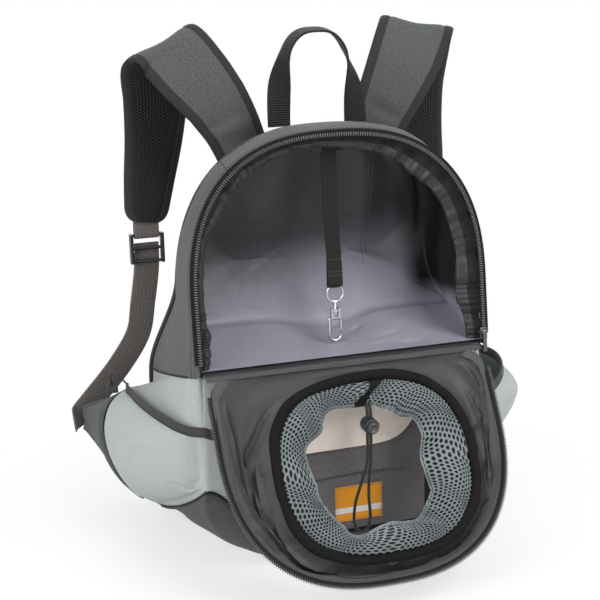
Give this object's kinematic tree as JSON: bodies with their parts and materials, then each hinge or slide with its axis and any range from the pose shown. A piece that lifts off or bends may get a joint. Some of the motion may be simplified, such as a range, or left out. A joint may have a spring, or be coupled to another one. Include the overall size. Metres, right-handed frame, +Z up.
{
  "type": "carrier backpack",
  "caption": "Carrier backpack with a zipped fold-down mesh-window flap, lined cabin with leash and snap hook, padded straps, hip wings and side pockets.",
  "frame": {"origin": "on the ground under the middle of the flat base", "axes": "+X to the right seen from the front, -Y to the front where the flap opens, +Z up"},
  "size_m": [0.4604, 0.3451, 0.5182],
  "materials": {
    "dark_cloth": "woven polyester",
    "light_cloth": "woven polyester",
    "back_mesh": "spacer mesh over foam",
    "lining": "satin lining",
    "flap_lining": "satin lining",
    "air_mesh": "air mesh",
    "binding": "ribbed binding tape",
    "storm": "coated cloth",
    "label": "woven label",
    "webbing": "herringbone webbing",
    "cord": "braided cord",
    "zip_coil": "nylon coil",
    "black_plastic": "moulded acetal",
    "board": "fibre board",
    "metal": "bright nickel"
  },
  "bodies": {
    "bag": {"cabin_wall_left": "dark_cloth", "cabin_roof": "dark_cloth", "cabin_wall_right": "dark_cloth", "cabin_floor": "lining", "back_panel": "back_mesh", "back_stiffener": "board", "lower_front_wall": "dark_cloth", "front_pocket": "dark_cloth", "pocket_label": "label", "bottom_panel": "dark_cloth", "base_board": "board", "side_panel_left": "light_cloth", "side_panel_right": "light_cloth", "side_pocket_left": "light_cloth", "side_pocket_right": "light_cloth", "pocket_binding_left": "binding", "pocket_binding_right": "binding", "wing_left": "dark_cloth", "wing_right": "dark_cloth", "side_tab": "binding", "body_zip": "zip_coil", "leash_anchor": "webbing"},
    "flap": {"flap_shell": "flap_lining", "flap_zip": "zip_coil", "window_binding": "binding", "window_mesh": "air_mesh", "mesh_tape": "binding", "storm_flap": "storm", "drawstring": "cord"},
    "cord_lock": {"cord_lock": "black_plastic"},
    "lock_button": {"lock_button": "black_plastic"},
    "zip_slider": {"zip_slider": "metal"},
    "zip_pull": {"zip_pull": "metal"},
    "leash": {"leash_webbing": "webbing", "leash_ring": "metal"},
    "snap_hook": {"snap_hook": "metal"},
    "hook_gate": {"hook_gate": "metal"},
    "grab_handle": {"grab_handle": "webbing"},
    "strap_left": {"strap_left": "dark_cloth", "strap_tab_left": "webbing", "strap_web_left": "webbing"},
    "buckle_left": {"buckle_left": "black_plastic"},
    "strap_right": {"strap_right": "dark_cloth", "strap_tab_right": "webbing", "strap_web_right": "webbing"},
    "buckle_right": {"buckle_right": "black_plastic"}
  },
  "joints": [
    {"name": "flap_hinge", "type": "hinge", "parent": "bag", "child": "flap", "pos_m": [0, -0.115, 0.203], "axis": [-1, 0, 0], "range_deg": [0, 155]},
    {"name": "cord_lock_slide", "type": "slide", "parent": "flap", "child": "cord_lock", "axis": [0, 0, -1], "range_m": [0, 0.024]},
    {"name": "lock_button_press", "type": "slide", "parent": "cord_lock", "child": "lock_button", "axis": [0, 1, 0], "range_m": [0, 0.003], "stiffness_N_per_m": 400},
    {"name": "zip_slide", "type": "slide", "parent": "bag", "child": "zip_slider", "axis": [0, 0.1219, 0.9925], "range_m": [0, 0.04]},
    {"name": "zip_pull_flip", "type": "hinge", "parent": "zip_slider", "child": "zip_pull", "pos_m": [0.1397, -0.11709, 0.21716], "axis": [-1, 0, 0], "range_deg": [0, 150]},
    {"name": "leash_swing", "type": "hinge", "parent": "bag", "child": "leash", "pos_m": [0.006, -0.066, 0.394], "axis": [1, 0, 0], "range_deg": [-6, 6]},
    {"name": "hook_swivel", "type": "hinge", "parent": "leash", "child": "snap_hook", "pos_m": [0.006, -0.066, 0.2414], "axis": [0, 0, 1], "continuous": true},
    {"name": "hook_gate_press", "type": "hinge", "parent": "snap_hook", "child": "hook_gate", "pos_m": [0.0116, -0.066, 0.2202], "axis": [0, -1, 0], "range_deg": [0, 18], "stiffness_Nm_per_rad": 0.02},
    {"name": "handle_fold", "type": "hinge", "parent": "bag", "child": "grab_handle", "pos_m": [0, -0.042, 0.4182], "axis": [1, 0, 0], "range_deg": [-60, 60]},
    {"name": "strap_left_swing", "type": "hinge", "parent": "bag", "child": "strap_left", "pos_m": [-0.076, -0.015, 0.41], "axis": [1, 0, 0], "range_deg": [0, 10]},
    {"name": "buckle_left_tilt", "type": "hinge", "parent": "strap_left", "child": "buckle_left", "pos_m": [-0.15, 0.053, 0.3044], "axis": [1, 0, 0], "range_deg": [-20, 0]},
    {"name": "strap_right_swing", "type": "hinge", "parent": "bag", "child": "strap_right", "pos_m": [0.076, -0.015, 0.41], "axis": [1, 0, 0], "range_deg": [0, 10]},
    {"name": "buckle_right_tilt", "type": "hinge", "parent": "strap_right", "child": "buckle_right", "pos_m": [0.15, 0.053, 0.3044], "axis": [1, 0, 0], "range_deg": [-20, 0]}
  ]
}
